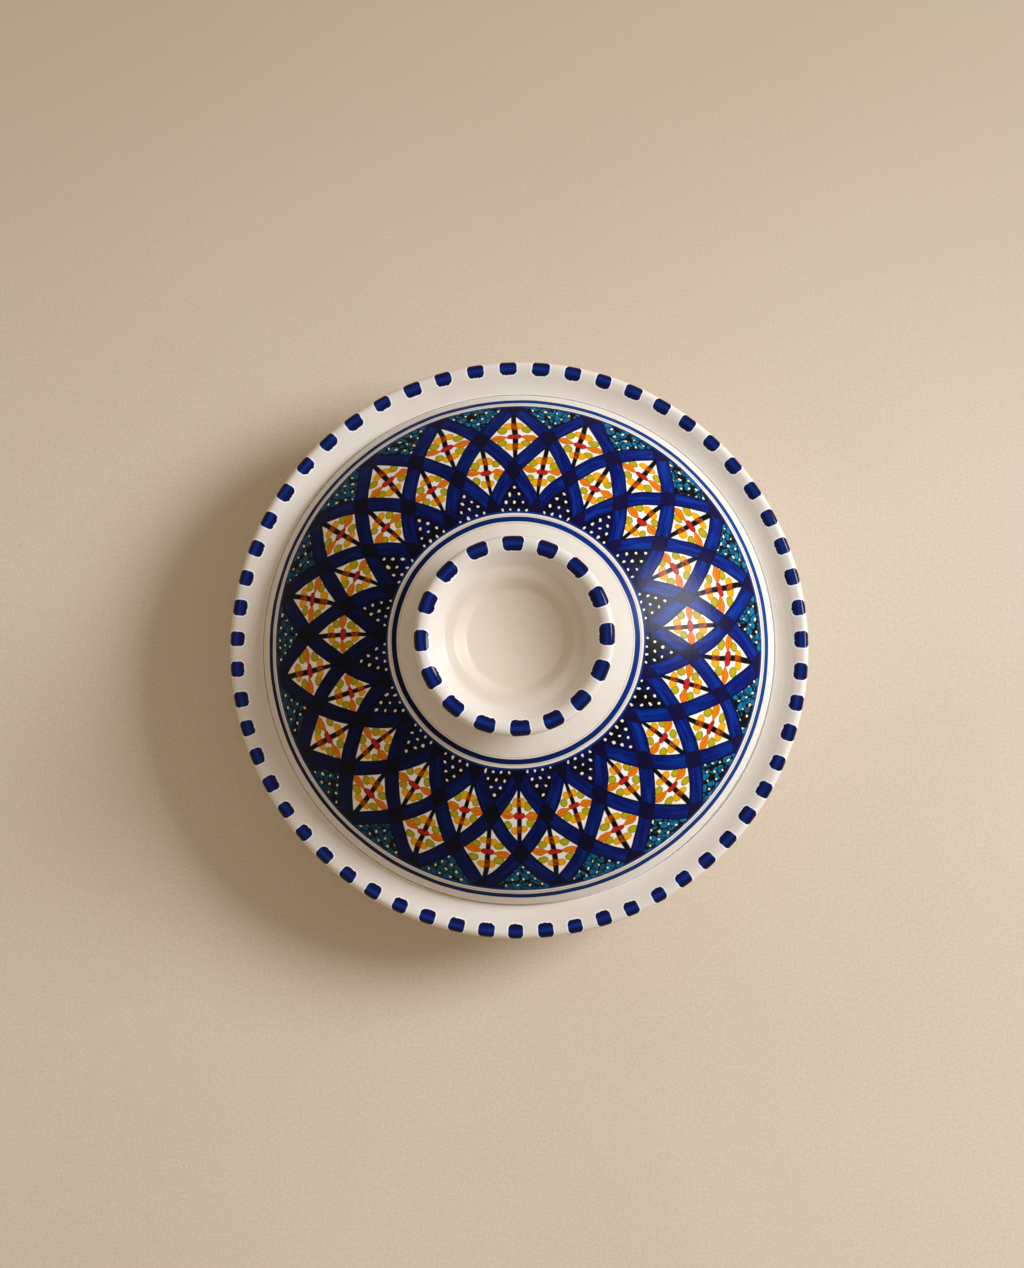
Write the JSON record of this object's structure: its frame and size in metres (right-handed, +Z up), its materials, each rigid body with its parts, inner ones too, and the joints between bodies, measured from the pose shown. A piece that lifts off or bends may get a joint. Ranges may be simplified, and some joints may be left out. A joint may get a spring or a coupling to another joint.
{
  "type": "covered chip and dip server",
  "caption": "Round footed stoneware dish with a wide rolled-rim flange, a seated domed cover and a flared open dip cup on its crown.",
  "frame": {"origin": "middle of the foot ring, on the surface the dish stands on", "axes": "+Z up along the common axis of the dish, the cover and the cup; X and Y are free, since the form is turned"},
  "size_m": [0.32, 0.32, 0.133],
  "materials": {
    "dish_glaze": "glossy cream tin glaze with cobalt dashes on the rolled rim and a bare clay foot",
    "cover_glaze": "glossy cream tin glaze, hand-painted with a cobalt lattice of diamonds between two pairs of lines",
    "cup_glaze": "glossy cream tin glaze with cobalt dashes on the rolled rim"
  },
  "bodies": {
    "base": {"base_dish": "dish_glaze"},
    "cover": {"cover_dome": "cover_glaze", "dip_cup": "cup_glaze"}
  },
  "joints": [
    {"name": "cover_lift", "type": "slide", "parent": "base", "child": "cover", "axis": [0, 0, 1], "range_m": [0, 0.16]}
  ]
}
